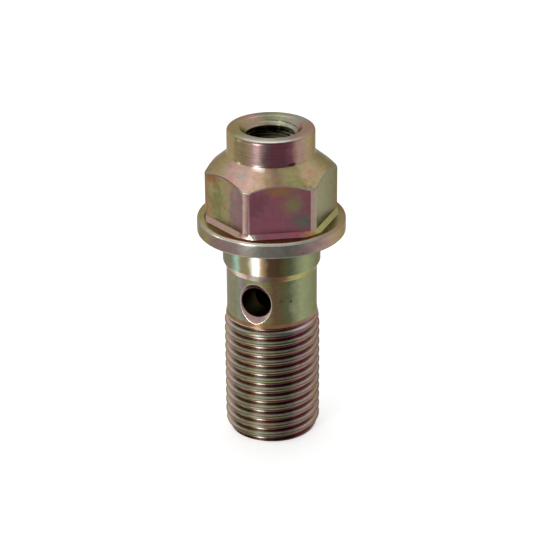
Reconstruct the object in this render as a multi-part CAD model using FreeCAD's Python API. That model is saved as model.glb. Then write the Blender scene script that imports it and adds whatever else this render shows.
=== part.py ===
import FreeCAD, Part
import math
import os

# Hollow flanged hexagon screw with a cross hole, an outside thread and a tapped port in its head.
# One turned and forged piece. Millimetres. The origin is the centre of the flange's bearing face,
# +Z points to the head, and the cross hole runs along Y, in line with two corners of the hexagon.

# Threaded end, M14 x 1.5, kept plain at the crest diameter
thread_major = 14.0
full_thread_length = 17.45
crest_taper_length = 2.25
end_face_diameter = 12.7
end_chamfer_length = 1.3

# Shank above the thread
shank_length = 31.8
waist_diameter = 13.2
shoulder_diameter = 14.2
shoulder_length = 4.5
shoulder_taper_length = 1.0

# Flange
flange_diameter = 21.45
flange_thickness = 2.35
flange_upper_round = 0.55
flange_lower_edge = 0.2

# Hexagon, its spreading foot and the cone above it
wrench_size = 17.0
corner_diameter = 19.0
foot_top_height = 3.0
foot_spread = 0.5
foot_corner_spread = 0.2
corner_height = 9.2
cone_angle = 39.6

# Collar on top of the cone
collar_diameter = 12.6
collar_edge_chamfer = 0.6
head_height = 15.7

# Tapped port in the collar, M8 x 1, with a plain wall at the thread's minor diameter
port_major = 8.0
port_pitch = 1.0
minor_loss_per_pitch = 1.0825
port_depth = 12.0
port_mouth_diameter = 9.0
drill_point_angle = 118.0

# Oilway from the threaded end up to the port, and the cross hole through both walls
oilway_diameter = 5.0
oilway_mouth_diameter = 6.0
cross_hole_diameter = 4.5
cross_hole_depth = 9.15
cross_mouth_diameter = 6.2
cross_mouth_angle = 110.0
tool_overrun = 1.0

# Places worked out from the driving dimensions
major_radius = thread_major / 2
waist_radius = waist_diameter / 2
shoulder_radius = shoulder_diameter / 2
flange_radius = flange_diameter / 2
corner_radius = corner_diameter / 2
collar_radius = collar_diameter / 2
port_radius = (port_major - minor_loss_per_pitch * port_pitch) / 2
end_z = -shank_length
crest_end_z = end_z + full_thread_length
taper_end_z = crest_end_z + crest_taper_length
cone_rise = (corner_radius - collar_radius) * math.tan(math.radians(cone_angle))
collar_base_z = corner_height + cone_rise
port_floor_z = head_height - port_depth

up = FreeCAD.Vector(0, 0, 1)
along_y = FreeCAD.Vector(0, 1, 0)


def point(radius, height):
    return FreeCAD.Vector(radius, 0, height)


def revolve(edges):
    face = Part.Face(Part.Wire(edges))
    return face.revolve(FreeCAD.Vector(0, 0, 0), up, 360)


def chain(points):
    return [Part.makeLine(a, b) for a, b in zip(points, points[1:])]


def turned_shank():
    """End chamfer, crest cylinder, taper, waist, shoulder and flange, as one turned profile."""
    corner_gap = flange_upper_round * (1 - math.sqrt(0.5))
    rim_top = point(flange_radius, flange_thickness - flange_upper_round)
    rim_middle = point(flange_radius - corner_gap, flange_thickness - corner_gap)
    rim_end = point(flange_radius - flange_upper_round, flange_thickness)
    edges = chain([
        point(0, end_z),
        point(end_face_diameter / 2, end_z),
        point(major_radius, end_z + end_chamfer_length),
        point(major_radius, crest_end_z),
        point(waist_radius, taper_end_z),
        point(waist_radius, -shoulder_length - shoulder_taper_length),
        point(shoulder_radius, -shoulder_length),
        point(shoulder_radius, 0),
        point(flange_radius - flange_lower_edge, 0),
        point(flange_radius, flange_lower_edge),
        rim_top,
    ])
    edges.append(Part.Arc(rim_top, rim_middle, rim_end).toShape())
    edges += chain([rim_end, point(0, flange_thickness), point(0, end_z)])
    return revolve(edges)


def turned_head():
    """The hexagon's round envelope, the cone and the collar, as one turned profile."""
    foot_radius = corner_radius + foot_corner_spread
    return revolve(chain([
        point(0, 0),
        point(foot_radius, 0),
        point(foot_radius, flange_thickness),
        point(corner_radius, foot_top_height),
        point(corner_radius, corner_height),
        point(collar_radius, collar_base_z),
        point(collar_radius, head_height - collar_edge_chamfer),
        point(collar_radius - collar_edge_chamfer, head_height),
        point(0, head_height),
        point(0, 0),
    ]))


def hexagon(across_flats, height):
    """A hexagonal wire with two of its corners on the Y axis."""
    reach = across_flats / math.sqrt(3)
    angles = [math.radians(90 + 60 * i) for i in range(7)]
    corners = [FreeCAD.Vector(reach * math.cos(a), reach * math.sin(a), height) for a in angles]
    return Part.makePolygon(corners)


def wrench_body():
    """Hexagonal prism whose foot spreads out to meet the flange."""
    prism = Part.Face(hexagon(wrench_size, 0)).extrude(up * head_height)
    wide = wrench_size + 2 * foot_spread
    plinth = Part.Face(hexagon(wide, 0)).extrude(up * flange_thickness)
    foot = Part.makeLoft([hexagon(wide, flange_thickness), hexagon(wrench_size, foot_top_height)], True)
    return prism.fuse([plinth, foot])


def port():
    """Tapped port's wall, its mouth chamfer and the drill point below it."""
    mouth_drop = port_mouth_diameter / 2 - port_radius
    point_drop = port_radius / math.tan(math.radians(drill_point_angle / 2))
    return revolve(chain([
        point(0, port_floor_z - point_drop),
        point(port_radius, port_floor_z),
        point(port_radius, head_height - mouth_drop),
        point(port_mouth_diameter / 2, head_height),
        point(port_mouth_diameter / 2, head_height + tool_overrun),
        point(0, head_height + tool_overrun),
        point(0, port_floor_z - point_drop),
    ]))


def oilway():
    """Straight way from the threaded end to the port, with a chamfered mouth."""
    radius = oilway_diameter / 2
    mouth_rise = (oilway_mouth_diameter - oilway_diameter) / 2
    return revolve(chain([
        point(0, end_z - tool_overrun),
        point(oilway_mouth_diameter / 2, end_z - tool_overrun),
        point(oilway_mouth_diameter / 2, end_z),
        point(radius, end_z + mouth_rise),
        point(radius, port_floor_z),
        point(0, port_floor_z),
        point(0, end_z - tool_overrun),
    ]))


def cross_hole():
    """Hole through both walls of the waist, countersunk on both sides."""
    height = -cross_hole_depth
    start = FreeCAD.Vector(0, -waist_diameter, height)
    cutters = [Part.makeCylinder(cross_hole_diameter / 2, 2 * waist_diameter, start, along_y)]
    slope = math.tan(math.radians(cross_mouth_angle / 2))
    sink = (cross_mouth_diameter - cross_hole_diameter) / 2 / slope
    outside = shoulder_radius - waist_radius + tool_overrun
    wide = cross_mouth_diameter / 2 + outside * slope
    for side in (-1, 1):
        floor = FreeCAD.Vector(0, side * (waist_radius - sink), height)
        cutters.append(Part.makeCone(
            cross_hole_diameter / 2, wide, sink + outside, floor, along_y * side))
    return cutters


def drain_screw():
    head = turned_head().common(wrench_body())
    body = turned_shank().fuse(head)
    body = body.cut([port(), oilway()] + cross_hole())
    return body.removeSplitter()


os.makedirs("parts", exist_ok=True)
screw = drain_screw()
screw.exportStep("parts/drain_screw.step")
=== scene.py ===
import math

import bpy
from mathutils import Matrix, Vector


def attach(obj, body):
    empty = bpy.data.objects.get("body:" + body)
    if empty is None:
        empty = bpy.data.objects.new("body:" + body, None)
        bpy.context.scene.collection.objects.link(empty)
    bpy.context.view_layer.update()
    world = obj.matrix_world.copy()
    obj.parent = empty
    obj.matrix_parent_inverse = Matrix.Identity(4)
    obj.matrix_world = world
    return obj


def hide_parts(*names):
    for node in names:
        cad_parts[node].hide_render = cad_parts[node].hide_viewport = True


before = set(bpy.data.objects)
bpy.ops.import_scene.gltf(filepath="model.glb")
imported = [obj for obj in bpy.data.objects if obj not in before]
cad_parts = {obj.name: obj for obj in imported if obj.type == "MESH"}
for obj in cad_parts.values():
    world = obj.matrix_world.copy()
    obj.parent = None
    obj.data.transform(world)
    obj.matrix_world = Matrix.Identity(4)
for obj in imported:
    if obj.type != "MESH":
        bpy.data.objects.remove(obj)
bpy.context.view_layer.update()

scene = bpy.context.scene
mm = 0.001

# Camera. A long lens looks down at the screw from a little above and from the right of its cross
# hole, and leans by a third of a degree.
camera_azimuth = math.radians(22.0)
camera_elevation = math.radians(25.333)
camera_roll = math.radians(-0.374)
camera_distance = 272.7 * mm
target_height = -7.433 * mm

camera = bpy.data.objects.new("camera", bpy.data.cameras.new("camera"))
scene.collection.objects.link(camera)
scene.camera = camera
camera.data.sensor_width = 36.0
camera.data.lens = 122.25
camera.data.shift_x = 0.005825
camera.data.clip_start = 10 * mm
camera.data.clip_end = 10.0
camera_turn = (
    Matrix.Rotation(camera_azimuth, 4, "Z")
    @ Matrix.Rotation(math.pi / 2 - camera_elevation, 4, "X"))
camera_back = camera_turn @ Vector((0, 0, camera_distance))
camera.matrix_world = (
    Matrix.Translation(camera_back + Vector((0, 0, target_height)))
    @ camera_turn @ Matrix.Rotation(camera_roll, 4, "Z"))


# The turned blank. A bar of steel is turned to the flange, the shoulder under it, the waist and
# the chamfered end that is threaded later. All edges are slightly broken.
flange_radius = 10.725
shoulder_radius = 7.1
waist_radius = 6.6
thread_radius = 7.0
end_radius = 6.35
end_height = -31.8
end_chamfer = 1.3
flange_lower_edge = 0.2
flange_top = 2.35
shoulder_foot = -4.5
taper_foot = -5.5
narrowing_radius = 6.742
narrowing_height = -12.9
narrowing_top = -12.1
crest_top = -14.35


def rounded(corners, parts=6):
    """Points along a line of corners (radius, height, round), each corner cut by its round."""
    points = []
    for i, (radius, height, cut) in enumerate(corners):
        here = Vector((radius, 0, height))
        if not cut:
            points.append(here)
            continue
        next_corner = corners[(i + 1) % len(corners)]
        before = Vector((corners[i - 1][0], 0, corners[i - 1][1]))
        after = Vector((next_corner[0], 0, next_corner[1]))
        start = here + (before - here).normalized() * cut
        end = here + (after - here).normalized() * cut
        for k in range(parts + 1):
            s = k / parts
            points.append(start * (1 - s) ** 2 + here * 2 * s * (1 - s) + end * s * s)
    return points


def drawn_line(name, points):
    """One point of a small plane, drawn out edge by edge through the given points."""
    bpy.ops.object.select_all(action="DESELECT")
    bpy.ops.mesh.primitive_plane_add(size=mm)
    line = bpy.context.object
    line.name = name
    bpy.ops.object.mode_set(mode="EDIT")
    bpy.ops.mesh.select_mode(type="VERT")
    bpy.ops.mesh.select_all(action="SELECT")
    bpy.ops.mesh.merge(type="CENTER")
    bpy.ops.transform.translate(value=points[0] * mm)
    for last, here in zip(points, points[1:]):
        bpy.ops.mesh.extrude_region_move(TRANSFORM_OT_translate={"value": (here - last) * mm})
    return line


def close_shell():
    """Ends the edit of a spun or swept shell, with doubled points merged and its faces outwards."""
    bpy.ops.mesh.select_all(action="SELECT")
    bpy.ops.mesh.remove_doubles(threshold=0.002 * mm)
    bpy.ops.mesh.normals_make_consistent(inside=False)
    bpy.ops.object.mode_set(mode="OBJECT")


def turned(name, corners, steps, place=Matrix.Identity(4)):
    """A closed solid of revolution, spun from its half section about the Z axis of its place."""
    piece = drawn_line(name, [place @ p for p in rounded(corners)])
    bpy.ops.mesh.select_all(action="SELECT")
    bpy.ops.mesh.spin(
        steps=steps, angle=2 * math.pi,
        center=place.translation * mm, axis=place.to_3x3() @ Vector((0, 0, 1)))
    close_shell()
    return piece


tints = {
    "straw": (176, 160, 122),
    "olive": (150, 146, 100),
    "green": (130, 135, 103),
    "teal": (104, 124, 112),
    "silver": (168, 166, 158),
    "tan": (160, 134, 108),
    "sage": (158, 158, 133),
    "grey": (128, 124, 118),
    "rust": (150, 112, 84),
    "brown": (104, 82, 62),
    "maroon": (128, 81, 93),
    "mauve": (150, 124, 124),
    "pink": (190, 158, 146),
}


def plain(tint, shade):
    """The linear colour of a tint of the film, made lighter or darker by a shade."""
    return [(c * shade / 255) ** 2.2 for c in tints[tint]] + [1]


def new_node(nodes, links, kind, *inputs, **settings):
    """A node with its settings, and its inputs joined to sockets or set to values, in order."""
    node = nodes.new("ShaderNode" + kind)
    for name, value in settings.items():
        setattr(node, name, value)
    for slot, value in zip(node.inputs, inputs):
        if isinstance(value, bpy.types.NodeSocket):
            links.new(value, slot)
        elif value is not None:
            slot.default_value = value
    return node


def tint_line(nodes, links, value, stops):
    """Colours along a value from 0 to 1, through stops (position, tint, shade)."""
    ramp = new_node(nodes, links, "ValToRGB", value)
    elements = ramp.color_ramp.elements
    while len(elements) < len(stops):
        elements.new(1.0)
    for element, (position, tint, shade) in zip(elements, stops):
        element.position = position
        element.color = plain(tint, shade)
    return ramp.outputs["Color"]


def cloud(nodes, links, place, size, detail, stretch=(1, 1, 1), offset=0.0):
    """Cloudy values about 0 over the object coordinates, in blotches of a size in millimetres."""
    mapping = new_node(
        nodes, links, "Mapping", place, (offset, -offset, 2 * offset), (0, 0, 0),
        [f / (size * mm) for f in stretch])
    noise = new_node(nodes, links, "TexNoise", mapping.outputs[0])
    noise.inputs["Scale"].default_value = 1.0
    noise.inputs["Detail"].default_value = detail
    noise.inputs["Roughness"].default_value = 0.55
    return new_node(nodes, links, "Math", noise.outputs["Fac"], 0.5, operation="SUBTRACT").outputs[0]


def chromated(name, sides, patches=(), depths=None, blotch=0.5, blotch_size=3.0, stretch=(1, 1, 1),
              rings=0.5, grooves=0.006, roughness=0.3, brushed=0.0, wandering=0.07):
    """Zinc under a chromate film. Sides are stops (azimuth, tint, shade) round the screw from its
    back at -180 degrees, patches are (azimuth, radius, height, wide, tall, tint, shade), and
    depths are stops (radius, tint, shade) for a thread, which the sides cover by a fourth value.
    Besides the film's colours, the shades and some patches hold painted light: painted highlights,
    glints and reflections of light and dark surroundings, seen as light and dark bands round the turned
    faces and fixed on the screw."""
    paint = bpy.data.materials.new(name)
    paint.use_nodes = True
    nodes, links = paint.node_tree.nodes, paint.node_tree.links
    shader = nodes["Principled BSDF"]

    def made(kind, *inputs, **settings):
        return new_node(nodes, links, kind, *inputs, **settings).outputs[0]

    place = nodes.new("ShaderNodeTexCoord").outputs["Object"]
    ring = new_node(
        nodes, links, "VectorMath",
        made("VectorMath", place, (1, 1, 0), operation="MULTIPLY"), operation="LENGTH").outputs["Value"]
    speck = cloud(nodes, links, place, 0.7, 3.0, offset=7.0)
    wander = cloud(nodes, links, place, 2.2, 3.0, offset=3.0)

    turned_place = made("Mapping", place, (0, 0, 0), (0, 0, math.pi / 2))
    around = new_node(nodes, links, "TexGradient", turned_place, gradient_type="RADIAL").outputs["Fac"]
    shifted = made("Math", wander, wandering, around, operation="MULTIPLY_ADD")
    side = made("Math", shifted, operation="FRACT")
    stops = [((stop[0] + 180) / 360, *stop[1:3]) for stop in sides]
    stops.append((1.0, *stops[0][1:]))
    colour = tint_line(nodes, links, side, stops)
    if depths:
        low, high = depths[0][0], depths[-1][0]
        deep = made("MapRange", ring, low * mm, high * mm)
        below = tint_line(
            nodes, links, deep, [((r - low) / (high - low), *stop) for r, *stop in depths])
        cover = new_node(nodes, links, "ValToRGB", side)
        elements = cover.color_ramp.elements
        while len(elements) < len(stops):
            elements.new(1.0)
        for element, (position, *_), (*_, share) in zip(elements, stops, sides + sides[:1]):
            element.position = position
            element.color = (share, share, share, 1)
        mix = nodes.new("ShaderNodeMixRGB")
        for slot, value in zip(mix.inputs, (cover.outputs["Color"], below, colour)):
            links.new(value, slot)
        colour = mix.outputs[0]
    for azimuth, radius, height, wide, tall, tint, shade in patches:
        turn = math.radians(azimuth)
        centre = (radius * math.sin(turn) / wide, -radius * math.cos(turn) / wide, height / tall)
        near = made(
            "Mapping", place, [-c for c in centre], (0, 0, 0),
            [1 / (s * mm) for s in (wide, wide, tall)])
        far = new_node(nodes, links, "VectorMath", near, operation="LENGTH").outputs["Value"]
        edge = made("Math", wander, 2.2, far, operation="MULTIPLY_ADD")
        edge = made("Math", speck, 1.2, edge, operation="MULTIPLY_ADD")
        laid = made("MapRange", edge, 0.3, 1.35, 1.0, 0.0, interpolation_type="SMOOTHSTEP")
        colour = made("MixRGB", laid, colour, plain(tint, shade))

    split = new_node(nodes, links, "SeparateXYZ", place)
    along = made("Math", ring, -0.93, split.outputs["Z"], operation="MULTIPLY_ADD")
    lines = new_node(nodes, links, "TexNoise", noise_dimensions="1D")
    links.new(made("Math", along, 1 / (0.22 * mm), operation="MULTIPLY"), lines.inputs["W"])
    lines.inputs["Scale"].default_value = 1.0
    lines.inputs["Detail"].default_value = 2.0
    lines.inputs["Roughness"].default_value = 0.7
    lines = made("Math", lines.outputs["Fac"], 0.5, operation="SUBTRACT")

    film = cloud(nodes, links, place, blotch_size, 4.0, stretch)
    ringed = made("Math", lines, rings, 0.5, operation="MULTIPLY_ADD")
    film = made("Math", film, 1.6, ringed, operation="MULTIPLY_ADD")
    shift = new_node(nodes, links, "ValToRGB", film)
    elements = shift.color_ramp.elements
    film_shift = [
        (0.1, 0.44, 0.5, 0.5), (0.3, 0.55, 0.47, 0.48), (0.42, 0.5, 0.5, 0.47), (0.55, 0.5, 0.5, 0.5),
        (0.68, 0.47, 0.52, 0.46), (0.82, 0.56, 0.45, 0.49), (0.95, 0.5, 0.51, 0.4),
    ]
    while len(elements) < len(film_shift):
        elements.new(1.0)
    for element, (position, *rgb) in zip(elements, film_shift):
        element.position = position
        element.color = [0.5 + (c - 0.5) * 2 * blotch for c in rgb] + [1]
    colour = made("VectorMath", colour, shift.outputs["Color"], operation="MULTIPLY")
    ringed_light = made("Math", lines, 1.2 * rings, 1.78, operation="MULTIPLY_ADD")
    light = made("Math", speck, 0.8, ringed_light, operation="MULTIPLY_ADD")
    scaled = new_node(nodes, links, "VectorMath", colour, operation="SCALE")
    links.new(light, scaled.inputs["Scale"])
    links.new(scaled.outputs[0], shader.inputs["Base Color"])

    shader.inputs["Metallic"].default_value = 1.0
    shader.inputs["Specular Tint"].default_value = (0.55, 0.5, 0.45, 1)
    worn = made("MapRange", speck, -0.5, 0.5, roughness - 0.06, roughness + 0.06)
    links.new(worn, shader.inputs["Roughness"])
    if brushed:
        tangent = nodes.new("ShaderNodeTangent")
        tangent.direction_type = "RADIAL"
        tangent.axis = "Z"
        links.new(tangent.outputs[0], shader.inputs["Tangent"])
        shader.inputs["Anisotropic"].default_value = brushed
        shader.inputs["Anisotropic Rotation"].default_value = 0.25
    grain = nodes.new("ShaderNodeBump")
    grain.inputs["Strength"].default_value = 0.5
    grain.inputs["Distance"].default_value = 0.01 * mm
    links.new(speck, grain.inputs["Height"])
    bump = grain
    if grooves:
        bump = nodes.new("ShaderNodeBump")
        bump.inputs["Strength"].default_value = 1.0
        bump.inputs["Distance"].default_value = grooves * mm
        links.new(lines, bump.inputs["Height"])
        links.new(grain.outputs["Normal"], bump.inputs["Normal"])
    links.new(bump.outputs["Normal"], shader.inputs["Normal"])
    return paint


def coated(piece, paint, wanted):
    """Gives the faces of a piece whose centre and normal are as wanted one finish."""
    if paint.name not in piece.data.materials:
        piece.data.materials.append(paint)
    place = piece.data.materials.find(paint.name)
    for face in piece.data.polygons:
        if wanted(face.center / mm, face.normal):
            face.material_index = place


# Heights at which one finish of the shank ends and the next begins.
shoulder_finish_foot = -5.52
waist_finish_foot = -12.2
thread_finish_top = -12.95
groove_finish_top = -13.1

screw = turned("drain_screw_body", [
    (0, end_height, 0),
    (end_radius, end_height, 0.1),
    (thread_radius, end_height + end_chamfer, 0.1),
    (thread_radius, crest_top, 0.3),
    (narrowing_radius, narrowing_height, 0),
    (waist_radius, narrowing_top, 0.6),
    (waist_radius, taper_foot, 0.15),
    (shoulder_radius, shoulder_foot, 0.15),
    (shoulder_radius, 0, 0.12),
    (flange_radius - flange_lower_edge, 0, 0.08),
    (flange_radius, flange_lower_edge, 0.08),
    (flange_radius, flange_top, 0.55),
    (0, flange_top, 0),
], 240)
# The flange's shades are partly a painted reflection: the darker grey from 14 to 46 degrees is a
# painted reflection of dark surroundings. The rest is the film's colour.
coated(screw, chromated("flange_zinc", [
    (-180, "olive", 0.85), (-130, "mauve", 0.9), (-90, "sage", 0.9), (-62, "sage", 0.88),
    (-40, "straw", 0.8), (-24, "mauve", 0.8), (-8, "mauve", 0.82), (4, "grey", 0.95),
    (14, "grey", 0.8), (34, "grey", 0.67), (46, "grey", 0.74), (56, "mauve", 0.9),
    (68, "pink", 0.84), (84, "straw", 0.92), (100, "straw", 0.86), (125, "green", 0.9),
    (150, "pink", 0.85),
], blotch=0.7, blotch_size=1.8, brushed=0.5), lambda centre, normal: centre.z > -0.05)
# The broken edges of the flange get a light silver finish, a painted highlight line along them.
coated(screw, chromated("edge_highlight_zinc", [
    (-180, "silver", 0.9), (-90, "straw", 0.95), (-50, "silver", 0.9), (0, "silver", 1.1),
    (30, "silver", 0.95), (60, "silver", 0.8), (90, "tan", 0.95), (130, "tan", 0.9),
], blotch=0.7, blotch_size=2.0, brushed=0.5),
    lambda centre, normal: (centre.z > flange_top - 0.5 and 0.15 < normal.z < 0.9)
    or (0.02 < centre.z < 0.22 and normal.z < -0.3))
coated(screw, chromated("seat_zinc", [
    (-180, "brown", 1.1), (-110, "straw", 0.85), (-70, "olive", 1.0), (-30, "straw", 1.0),
    (-12, "rust", 1.05), (5, "rust", 1.1), (30, "rust", 1.0), (60, "rust", 0.95),
    (85, "straw", 0.8), (110, "straw", 0.8), (140, "rust", 0.8),
], blotch_size=3.0, brushed=0.5), lambda centre, normal: centre.z > flange_top - 0.1 and normal.z > 0.9)
# The shoulder's shades hold painted highlights and a painted reflection: the teal at -26 to -21 and the
# silver at -2 to 6 degrees are painted highlights, and the darker brown and olive from 18 to 43 degrees
# are a painted reflection of dark surroundings.
coated(screw, chromated("shoulder_zinc", [
    (-180, "olive", 0.8), (-120, "green", 0.9), (-60, "sage", 0.86), (-34, "sage", 0.78),
    (-26, "teal", 1.3), (-21, "teal", 1.4), (-16, "straw", 0.78), (-6, "straw", 0.78),
    (-2, "silver", 1.25), (6, "silver", 1.3), (9, "tan", 1.15), (13, "tan", 0.9),
    (18, "brown", 0.76), (30, "brown", 0.68), (37, "olive", 0.52), (43, "green", 0.6),
    (49, "green", 0.78), (56, "green", 1.0), (64, "green", 1.12), (90, "green", 0.94),
    (130, "straw", 0.85),
], blotch=0.5, blotch_size=2.5, brushed=0.9, wandering=0.025),
    lambda centre, normal: shoulder_finish_foot < centre.z <= -0.05)
# On the taper, the silver and light pink from -30 to -8 degrees and the silver from -2 to 6 degrees are
# painted highlights, and the darker brown and rust from 22 to 34 degrees are partly a painted
# reflection of dark surroundings.
coated(screw, chromated("taper_zinc", [
    (-180, "tan", 0.85), (-90, "sage", 0.85), (-48, "mauve", 0.95), (-30, "pink", 1.1),
    (-24, "silver", 1.35), (-17, "silver", 1.3), (-12, "pink", 1.15), (-8, "mauve", 1.12),
    (-2, "silver", 1.12), (6, "silver", 1.1), (12, "mauve", 0.84), (22, "brown", 0.9),
    (34, "rust", 0.78), (42, "olive", 1.0), (52, "olive", 1.2), (66, "olive", 1.12),
    (85, "olive", 1.0), (120, "tan", 0.9),
], blotch=0.5, blotch_size=2.0, brushed=0.6),
    lambda centre, normal: -5.6 < centre.z < -4.5 and normal.z < -0.15)
# The waist's darker olive and brown from 15 to 43 degrees are partly a painted reflection of dark
# surroundings. The two small brown patches are rust specks.
coated(screw, chromated("waist_zinc", [
    (-180, "olive", 0.75), (-130, "green", 0.9), (-80, "sage", 0.94), (-50, "sage", 0.92),
    (-30, "sage", 0.8), (-22, "sage", 0.78), (-18, "silver", 0.74), (-14, "sage", 0.74),
    (-10, "olive", 0.86), (15, "olive", 0.72), (24, "brown", 0.9), (34, "olive", 0.56),
    (43, "green", 0.66), (53, "green", 0.92), (63, "green", 1.08), (90, "green", 1.0),
    (130, "olive", 0.8),
], patches=[
    (33.3, waist_radius, -8.65, 0.32, 0.3, "brown", 0.8),
    (46.4, waist_radius, -8.89, 0.22, 0.28, "brown", 0.72),
], blotch=0.4, blotch_size=3.0, brushed=0.8),
    lambda centre, normal: waist_finish_foot < centre.z <= shoulder_finish_foot)
coated(screw, chromated("runout_zinc", [
    (-180, "olive", 0.8), (-90, "straw", 0.85), (-40, "tan", 0.8), (-15, "rust", 0.82),
    (10, "rust", 0.76), (40, "rust", 0.76), (62, "tan", 0.8), (95, "pink", 0.85),
    (140, "straw", 0.8),
], blotch=0.6, blotch_size=2.0, brushed=0.5),
    lambda centre, normal: thread_finish_top < centre.z <= waist_finish_foot)
# The thread's shades hold a painted glint and a painted reflection: the light straw and silver stripe
# from -4 to 9 degrees is a painted glint, and the dark maroon from 27 to 47 degrees is a painted
# reflection of dark surroundings. By depth, the silver band on the flanks is partly a painted
# reflection and the darker maroon root partly painted shade.
thread_zinc = chromated("thread_zinc", [
    (-180, "mauve", 0.9, 0.3), (-120, "straw", 0.95, 0.6), (-64, "straw", 1.05, 0.7),
    (-52, "mauve", 1.25, 0.65), (-40, "mauve", 1.15, 0.6), (-28, "straw", 0.66, 0.4),
    (-12, "olive", 0.75, 0.3), (-4, "straw", 1.1, 0.35), (2, "silver", 1.4, 0.32),
    (9, "silver", 1.4, 0.22), (16, "olive", 0.9, 0.15), (27, "maroon", 0.5, 0.35),
    (37, "maroon", 0.3, 0.45), (47, "maroon", 0.4, 0.42), (57, "maroon", 1.2, 0.28),
    (64, "maroon", 1.3, 0.3), (75, "mauve", 1.0, 0.6), (88, "rust", 0.9, 0.72),
    (100, "mauve", 0.88, 0.8), (140, "maroon", 0.9, 0.4),
], depths=[
    (6.1, "maroon", 0.8), (6.4, "maroon", 0.72), (6.5, "tan", 0.7), (6.6, "silver", 1.18),
    (6.77, "silver", 1.16), (6.86, "teal", 0.8), (6.95, "green", 0.66), (7.0, "olive", 0.86),
], blotch=0.5, blotch_size=3.0, rings=0.0, grooves=0.0, wandering=0.03)
coated(screw, thread_zinc, lambda centre, normal: centre.z <= thread_finish_top)


# The forged head: a hexagon 17 mm across its flats, whose corners are turned to 19 mm and whose
# top is turned to a cone and a round collar. Its foot spreads out to the flange.
flat_distance = 8.5
corner_radius = 9.5
collar_radius = 6.3
collar_top = 15.7
corner_height = 9.2
foot_top = 3.0
foot_drop = 0.65
foot_slope = 0.5 / foot_drop
foot_corner_slope = 0.2 / foot_drop
foot_depth = 1.8
foot_lap = 0.4
head_lap = 1.4
collar_foot = 11.85
edge_break = 0.11
strip_half = math.pi / 6 - math.acos(flat_distance / corner_radius)


def six_sided(name, corners, height, slope):
    """A turned piece cut to six flats, which spread out by a slope below a height."""
    start_turn = Matrix.Rotation(math.pi / 6 - strip_half, 4, "Z")
    piece = drawn_line(name, [start_turn @ p for p in rounded(corners)])
    bpy.ops.mesh.select_all(action="SELECT")
    for _ in range(6):
        bpy.ops.mesh.spin(steps=4, angle=2 * strip_half, center=(0, 0, 0), axis=(0, 0, 1))
        bpy.ops.mesh.spin(
            steps=38, angle=math.pi / 3 - 2 * strip_half, center=(0, 0, 0), axis=(0, 0, 1))
    close_shell()
    bpy.ops.object.mode_set(mode="EDIT")
    for side in range(6):
        outward = Vector((math.cos(side * math.pi / 3), math.sin(side * math.pi / 3), 0))
        bpy.ops.mesh.select_all(action="SELECT")
        bpy.ops.mesh.bisect(
            plane_co=(outward * flat_distance + Vector((0, 0, height))) * mm,
            plane_no=(outward + Vector((0, 0, slope))).normalized(),
            use_fill=True, clear_outer=True, threshold=0.001 * mm)
    bpy.ops.mesh.select_mode(type="EDGE")
    bpy.ops.mesh.select_all(action="DESELECT")
    bpy.ops.mesh.edges_select_sharp(sharpness=math.radians(20))
    bpy.ops.mesh.bevel(offset=edge_break * mm, segments=3, affect="EDGES")
    bpy.ops.object.mode_set(mode="OBJECT")
    return piece


head = six_sided("head", [
    (0, foot_top - head_lap, 0),
    (corner_radius, foot_top - head_lap, 0),
    (corner_radius, corner_height, 0),
    (collar_radius, collar_foot, 0.45),
    (collar_radius, collar_top, 0.6),
    (0, collar_top, 0),
], foot_top, 0)
foot = six_sided("foot", [
    (0, foot_top - foot_depth, 0),
    (corner_radius + foot_depth * foot_corner_slope, foot_top - foot_depth, 0),
    (corner_radius - foot_lap * foot_corner_slope, foot_top + foot_lap, 0),
    (0, foot_top + foot_lap, 0),
], foot_top, foot_slope)

coated(head, chromated("corner_zinc", [
    (-180, "pink", 0.85), (-120, "straw", 0.85), (-60, "pink", 0.85), (-10, "mauve", 0.95),
    (-1, "pink", 0.84), (1, "mauve", 0.76), (10, "mauve", 0.72), (50, "mauve", 0.96),
    (70, "pink", 0.88), (120, "olive", 0.95), (150, "mauve", 0.9),
], blotch=0.8, blotch_size=1.6, rings=0.0, grooves=0.0, wandering=0.01), lambda centre, normal: True)
# The front flat's darker maroon, from 1 to 59 degrees, is partly a painted reflection of dark
# surroundings. The patches are the film's own blotches.
coated(head, chromated("flat_zinc", [
    (-180, "mauve", 0.8), (-140, "olive", 0.85), (-90, "straw", 0.8), (-58, "rust", 0.9),
    (-46, "straw", 0.84), (-24, "straw", 0.8), (-10, "mauve", 0.87), (-1, "mauve", 0.78),
    (1, "maroon", 0.88), (30, "maroon", 0.87), (59, "maroon", 0.84), (61, "sage", 0.98),
    (75, "sage", 0.96), (100, "sage", 0.86), (119, "olive", 0.8), (121, "rust", 0.8),
    (160, "maroon", 0.9),
], patches=[
    (43.0, 8.7, 7.4, 1.5, 2.0, "straw", 0.6), (52.0, 9.2, 4.8, 1.9, 1.2, "grey", 0.66),
    (33.0, 8.5, 9.4, 3.0, 0.8, "rust", 0.76), (8.0, 9.1, 7.9, 1.5, 2.2, "maroon", 0.79),
    (25.0, 8.6, 4.2, 3.0, 0.8, "maroon", 0.9), (-41.0, 8.7, 6.2, 1.7, 3.0, "olive", 0.8),
    (-52.0, 9.0, 9.2, 1.9, 0.9, "rust", 0.86), (-12.0, 8.9, 6.0, 1.4, 2.4, "mauve", 0.85),
], blotch=0.7, blotch_size=1.8, rings=0.0, grooves=0.0, wandering=0.015),
    lambda centre, normal: abs(normal.z) < 0.1 and (
        abs((math.atan2(centre.y, centre.x) + math.pi / 6) % (math.pi / 3) - math.pi / 6)
        < math.pi / 6 - 0.85 * strip_half))
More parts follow.
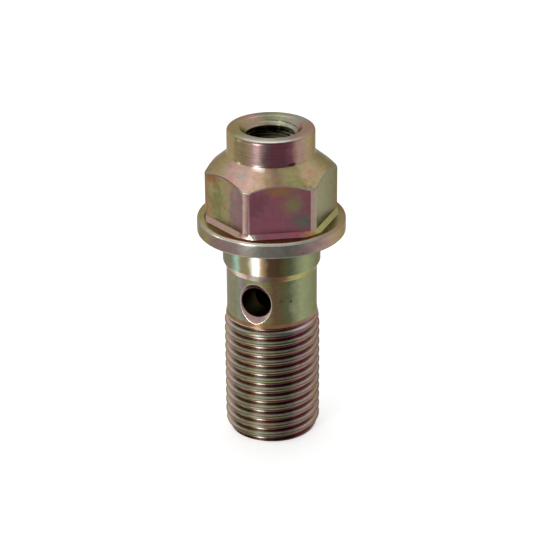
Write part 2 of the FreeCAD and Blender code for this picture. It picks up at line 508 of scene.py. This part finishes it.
coated(head, chromated("arris_zinc", [
    (-180, "grey", 1.1), (-60, "mauve", 0.8), (-20, "mauve", 0.7), (-7, "mauve", 0.72),
    (0, "silver", 1.0), (8, "mauve", 0.85), (30, "mauve", 0.85), (60, "grey", 1.05),
    (120, "grey", 1.1),
], blotch=0.7, blotch_size=1.5, rings=0.0, grooves=0.0, roughness=0.45), lambda centre, normal: (
    0.05 < normal.z < 0.72 and 8.7 < centre.z < 10.6))
# On the foot, the silver from 4 to 5.5 degrees is a painted highlight on the front corner's flare.
coated(foot, chromated("foot_zinc", [
    (-180, "pink", 0.85), (-120, "straw", 0.9), (-60, "pink", 0.88), (-7, "pink", 0.88),
    (-4, "pink", 0.6), (2, "pink", 0.62), (4, "silver", 0.95), (5.5, "silver", 0.95),
    (7.5, "mauve", 0.85), (16, "maroon", 1.0), (46, "maroon", 1.0), (56, "rust", 1.0),
    (66, "olive", 1.08), (110, "olive", 1.0), (130, "pink", 0.85),
], blotch=0.6, blotch_size=1.8, rings=0.0, grooves=0.0), lambda centre, normal: True)
# On the cone, the bright silver patch at 6 degrees, where it meets the collar, is a painted highlight.
coated(head, chromated("cone_zinc", [
    (-180, "straw", 0.85), (-140, "pink", 0.85), (-68, "straw", 0.86), (-44, "straw", 0.91),
    (-32, "pink", 0.93), (-15, "pink", 1.03), (5, "pink", 1.0), (12, "tan", 1.08),
    (18, "tan", 0.98), (25, "tan", 0.88), (31, "tan", 0.8), (38, "straw", 0.78),
    (44, "olive", 0.88), (50, "straw", 0.82), (56, "straw", 0.93), (75, "straw", 0.97),
    (95, "straw", 0.82), (125, "olive", 0.85), (150, "straw", 0.8),
], patches=[
    (47.0, 8.8, 9.9, 1.8, 0.9, "olive", 0.84), (66.0, 8.0, 10.6, 1.5, 0.7, "tan", 1.08),
    (-12.0, 7.6, 10.7, 0.6, 0.45, "silver", 1.0), (6.0, 6.5, 11.9, 1.0, 0.6, "silver", 1.5),
], blotch=0.6, blotch_size=1.8, brushed=0.6), lambda centre, normal: (
    normal.z > 0.3 and 9.1 < centre.z < 12.2 and (normal.z > 0.74 or centre.z > 11.2)))
# The collar's dark mauve and maroon from 16 to 40 degrees are a painted reflection of dark
# surroundings. The patch makes a small darker spot at its foot at 49 degrees.
coated(head, chromated("collar_zinc", [
    (-180, "mauve", 0.85), (-120, "olive", 0.85), (-60, "straw", 0.98), (-46, "straw", 0.92),
    (-34, "straw", 0.84), (-29, "straw", 0.7), (-18, "straw", 0.62), (-12, "tan", 0.82),
    (-3, "mauve", 0.86), (9, "mauve", 0.78), (16, "mauve", 0.56), (23, "maroon", 0.65),
    (40, "maroon", 0.66), (49, "maroon", 0.84), (57, "pink", 0.8), (66, "pink", 0.84),
    (78, "straw", 0.9), (92, "straw", 0.84), (130, "olive", 0.8), (155, "straw", 0.85),
], patches=[
    (49.0, 6.3, 12.15, 0.6, 0.2, "maroon", 0.45),
], blotch=0.8, blotch_size=1.4, stretch=(0.7, 0.7, 1.5), rings=1.0, brushed=0.55, wandering=0.04),
    lambda centre, normal: centre.z > 11.9 and normal.z < 0.6)
coated(head, chromated("rim_zinc", [
    (-180, "sage", 0.94), (-150, "sage", 0.76), (-125, "pink", 0.85), (-80, "straw", 0.85),
    (-40, "straw", 0.84), (-10, "silver", 0.98), (12, "silver", 1.06), (26, "silver", 1.04),
    (48, "silver", 0.84), (80, "pink", 0.84), (120, "pink", 0.82), (150, "silver", 0.9),
], blotch=0.8, blotch_size=2.2, brushed=0.5), lambda centre, normal: centre.z > 15 and normal.z >= 0.6)


def joined(piece, tool, operation):
    """Joins a tool to a piece or cuts it away, and clears the tool."""
    bpy.ops.object.select_all(action="DESELECT")
    bpy.context.view_layer.objects.active = piece
    step = piece.modifiers.new("step", "BOOLEAN")
    step.operation = operation
    step.object = tool
    step.solver = "MANIFOLD"
    step.material_mode = "TRANSFER"
    bpy.ops.object.modifier_apply(modifier=step.name)
    bpy.data.objects.remove(tool)


joined(screw, foot, "UNION")
joined(screw, head, "UNION")


# The outside thread, M14 x 1.5, right-hand. A groove tool is swept up the shank and leaves the
# metal over its last turns, where the shank narrows to the waist.
thread_pitch = 1.5
groove_start = end_height + 0.878 - 2 * thread_pitch
groove_turns = 15
root_radius = 6.08
root_half = 0.13
mouth_radius = 7.04
mouth_half = 0.68
clear_radius = 7.5
runout_start = -13.6
runout_slope = 0.4
runout_limit = 1.6


def groove_tool(name, corners, pitch, turns, steps):
    """A closed cutter with the given section, swept up a right-hand helix about the screw's axis."""
    tool = drawn_line(name, rounded(corners, 3))
    bpy.ops.mesh.select_all(action="SELECT")
    bpy.ops.mesh.edge_face_add()
    bpy.ops.mesh.delete(type="ONLY_FACE")
    bpy.ops.object.mode_set(mode="OBJECT")
    sweep = tool.modifiers.new("sweep", "SCREW")
    sweep.axis = "Z"
    sweep.angle = 2 * math.pi
    sweep.screw_offset = pitch * mm
    sweep.iterations = turns
    sweep.steps = steps
    sweep.render_steps = steps
    bpy.ops.object.modifier_apply(modifier=sweep.name)
    bpy.ops.object.mode_set(mode="EDIT")
    bpy.ops.mesh.select_mode(type="EDGE")
    bpy.ops.mesh.select_all(action="DESELECT")
    bpy.ops.mesh.select_non_manifold()
    bpy.ops.mesh.edge_face_add()
    close_shell()
    return tool


groove = groove_tool("groove", [
    (root_radius, groove_start - root_half, 0.12),
    (root_radius, groove_start + root_half, 0.12),
    (mouth_radius, groove_start + mouth_half, 0),
    (clear_radius, groove_start + mouth_half, 0),
    (clear_radius, groove_start - mouth_half, 0),
    (mouth_radius, groove_start - mouth_half, 0),
], thread_pitch, groove_turns, 120)
for v in groove.data.vertices:
    over = max(0.0, v.co.z / mm - runout_start)
    out = Vector((v.co.x, v.co.y, 0)).normalized()
    v.co += out * min(runout_limit, runout_slope * over) * mm
coated(groove, thread_zinc, lambda centre, normal: True)
coated(groove, bpy.data.materials["runout_zinc"], lambda centre, normal: centre.z > groove_finish_top)
joined(screw, groove, "DIFFERENCE")


# The port in the collar, tapped M8 x 1. It is drilled to a 118 degree point, its mouth is
# chamfered, and its thread starts in that chamfer.
port_radius = 3.459
port_floor = 3.7

port = turned("port", [
    (0, port_floor - 2.08, 0),
    (port_radius, port_floor, 0),
    (port_radius, collar_top - 1.041, 0.1),
    (4.44, collar_top - 0.06, 0.05),
    (4.62, collar_top + 0.02, 0),
    (4.62, collar_top + 1, 0),
    (0, collar_top + 1, 0),
], 120)
chromated("bore_zinc", [
    (-180, "brown", 0.85), (-90, "brown", 0.75), (0, "green", 0.6), (90, "brown", 0.8),
], blotch=0.5, blotch_size=2.0, rings=0.0, grooves=0.0)
# Painted light and shade in the port: from 90 degrees round the back to -155 the wall is painted
# lighter where light falls deep into the bore, and the brown patch near the top of the far wall is a
# painted shadow under the mouth's edge.
coated(port, chromated("port_zinc", [
    (-180, "sage", 1.4), (-155, "sage", 1.0), (-130, "brown", 0.7), (0, "sage", 0.7),
    (90, "sage", 1.2), (140, "sage", 1.9),
], patches=[
    (-160.0, 3.6, 13.9, 3.2, 0.7, "brown", 0.35),
], blotch=0.6, blotch_size=1.5, rings=0.0, grooves=0.0), lambda centre, normal: True)
coated(port, bpy.data.materials["rim_zinc"], lambda centre, normal: centre.z > collar_top - 1.1)
joined(screw, port, "DIFFERENCE")

port_pitch = 1.0
port_start = 5.85
port_turns = 10
port_root_radius = 4.0
port_root_half = 0.0625
port_mouth_radius = 3.4
port_mouth_half = 0.409
port_clear_radius = 3.1
port_groove = groove_tool("port_groove", [
    (port_root_radius, port_start + port_root_half, 0.03),
    (port_mouth_radius, port_start + port_mouth_half, 0),
    (port_clear_radius, port_start + port_mouth_half, 0),
    (port_clear_radius, port_start - port_mouth_half, 0),
    (port_mouth_radius, port_start - port_mouth_half, 0),
    (port_root_radius, port_start - port_root_half, 0.03),
], port_pitch, port_turns, 96)
coated(port_groove, bpy.data.materials["port_zinc"], lambda centre, normal: True)
coated(port_groove, bpy.data.materials["rim_zinc"], lambda centre, normal: centre.z > collar_top - 1.3)
joined(screw, port_groove, "DIFFERENCE")


# The ways for the oil: one drilled up from the threaded end into the port, and one drilled across
# the waist and countersunk on both sides.
oilway_radius = 2.5
oilway_mouth_radius = 3.1

oilway = turned("oilway", [
    (0, end_height - 1, 0),
    (oilway_mouth_radius, end_height - 1, 0),
    (oilway_mouth_radius, end_height - 0.05, 0),
    (oilway_radius, end_height + 0.5, 0.05),
    (oilway_radius, port_floor, 0),
    (0, port_floor, 0),
], 96)
coated(oilway, bpy.data.materials["bore_zinc"], lambda centre, normal: True)
joined(screw, oilway, "DIFFERENCE")

cross_height = -9.15
cross_radius = 2.25
sink_floor = 6.005
sink_end = 8.1
sink_end_radius = 5.24
rim_side = 6.1
rim_break = 0.04
cross_place = Matrix.Translation((0, 0, cross_height)) @ Matrix.Rotation(-math.pi / 2, 4, "X")
cross_hole = turned("cross_hole", [
    (0, -sink_end, 0),
    (sink_end_radius, -sink_end, 0),
    (cross_radius, -sink_floor, 0.1),
    (cross_radius, sink_floor, 0.1),
    (sink_end_radius, sink_end, 0),
    (0, sink_end, 0),
], 96, cross_place)
coated(cross_hole, bpy.data.materials["bore_zinc"], lambda centre, normal: True)
# The two dark maroon patches on the upper halves of the countersinks, which face down, are painted
# shade.
coated(cross_hole, chromated("sink_zinc", [
    (-180, "mauve", 0.9), (-90, "pink", 0.75), (0, "mauve", 0.95), (90, "pink", 0.75),
], patches=[
    (0.0, 6.5, -6.3, 2.4, 0.9, "maroon", 0.7), (180.0, 6.5, -6.3, 2.4, 0.9, "maroon", 0.7),
], blotch=0.6, blotch_size=1.5, rings=0.0, grooves=0.0, roughness=0.42),
    lambda centre, normal: abs(centre.y) > 6.0)
joined(screw, cross_hole, "DIFFERENCE")

# The sharp outer rims of the cross hole are broken and take the light silver edge finish, a painted
# highlight line, and the whole screw is shaded by its angles.
bpy.ops.object.select_all(action="DESELECT")
screw.select_set(True)
bpy.context.view_layer.objects.active = screw
screw.active_material_index = screw.data.materials.find("sink_zinc")
bpy.ops.object.mode_set(mode="EDIT")
bpy.ops.mesh.select_mode(type="FACE")
bpy.ops.mesh.select_all(action="DESELECT")
bpy.ops.object.material_slot_select()
bpy.ops.mesh.region_to_loop()
bpy.ops.object.mode_set(mode="OBJECT")
for edge in screw.data.edges:
    ends = [abs(screw.data.vertices[v].co.y) / mm for v in edge.vertices]
    edge.select = edge.select and min(ends) > rim_side
bpy.ops.object.mode_set(mode="EDIT")
bpy.ops.mesh.bevel(
    offset=rim_break * mm, segments=2, affect="EDGES", material=screw.data.materials.find("edge_highlight_zinc"))
bpy.ops.object.mode_set(mode="OBJECT")
bpy.ops.object.shade_smooth_by_angle(angle=math.radians(32))
weigh = screw.modifiers.new("weigh", "WEIGHTED_NORMAL")
weigh.keep_sharp = True
weigh.weight = 60
bpy.ops.object.modifier_apply(modifier=weigh.name)


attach(screw, "root")
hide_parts("drain_screw")


# The stage: a pale floor that runs to white, and soft lights round the screw.
bpy.ops.object.select_all(action="DESELECT")
bpy.ops.mesh.primitive_grid_add(
    x_subdivisions=2, y_subdivisions=2, size=6, location=(0, 0, end_height * mm))
floor = bpy.context.object
floor.name = "floor"


def shown_white(nodes, links):
    """1 where the camera, a reflection or glass looks, and 0 for the light that falls on things."""
    path = nodes.new("ShaderNodeLightPath").outputs
    seen = new_node(
        nodes, links, "Math", path["Is Camera Ray"], path["Is Glossy Ray"], operation="MAXIMUM")
    either = new_node(
        nodes, links, "Math", seen.outputs[0], path["Is Transmission Ray"], operation="MAXIMUM")
    return either.outputs[0]


floor_paint = bpy.data.materials.new("pale_floor")
floor_paint.use_nodes = True
nodes, links = floor_paint.node_tree.nodes, floor_paint.node_tree.links
floor_shader = nodes["Principled BSDF"]
floor_shader.inputs["Base Color"].default_value = (0.8, 0.8, 0.8, 1)
floor_shader.inputs["Roughness"].default_value = 0.9
floor_shader.inputs["Specular IOR Level"].default_value = 0.0
floor_shader.inputs["Emission Color"].default_value = (1, 1, 1, 1)
lift = nodes.new("ShaderNodeMath")
lift.operation = "MULTIPLY"
lift.inputs[1].default_value = 0.55
links.new(shown_white(nodes, links), lift.inputs[0])
links.new(lift.outputs[0], floor_shader.inputs["Emission Strength"])
floor.data.materials.append(floor_paint)

world = bpy.data.worlds.new("studio")
scene.world = world
world.use_nodes = True
nodes, links = world.node_tree.nodes, world.node_tree.links
background = nodes["Background"]
background.inputs["Color"].default_value = (1, 1, 1, 1)
level = nodes.new("ShaderNodeMapRange")
level.inputs["To Min"].default_value = 0.45
level.inputs["To Max"].default_value = 1.0
links.new(shown_white(nodes, links), level.inputs["Value"])
links.new(level.outputs["Result"], background.inputs["Strength"])


def soft_light(name, azimuth, elevation, distance, width, height, watts):
    """A soft box that faces the middle of the screw, at an azimuth from the front."""
    light = bpy.data.lights.new(name, "AREA")
    light.shape = "RECTANGLE"
    light.size = width
    light.size_y = height
    light.energy = watts
    lamp = bpy.data.objects.new(name, light)
    scene.collection.objects.link(lamp)
    turn = (Matrix.Rotation(math.radians(azimuth), 4, "Z")
            @ Matrix.Rotation(math.pi / 2 - math.radians(elevation), 4, "X"))
    lamp.matrix_world = Matrix.Translation(turn @ Vector((0, 0, distance))) @ turn
    lamp.visible_camera = False


soft_light("strip_left", -13, 6, 0.45, 0.1, 0.12, 1.0)
soft_light("strip_far_left", -64, 6, 0.45, 0.04, 0.12, 0.2)
soft_light("over_head", 200, 72, 0.6, 0.5, 0.5, 1.0)

scene.view_settings.view_transform = "Standard"
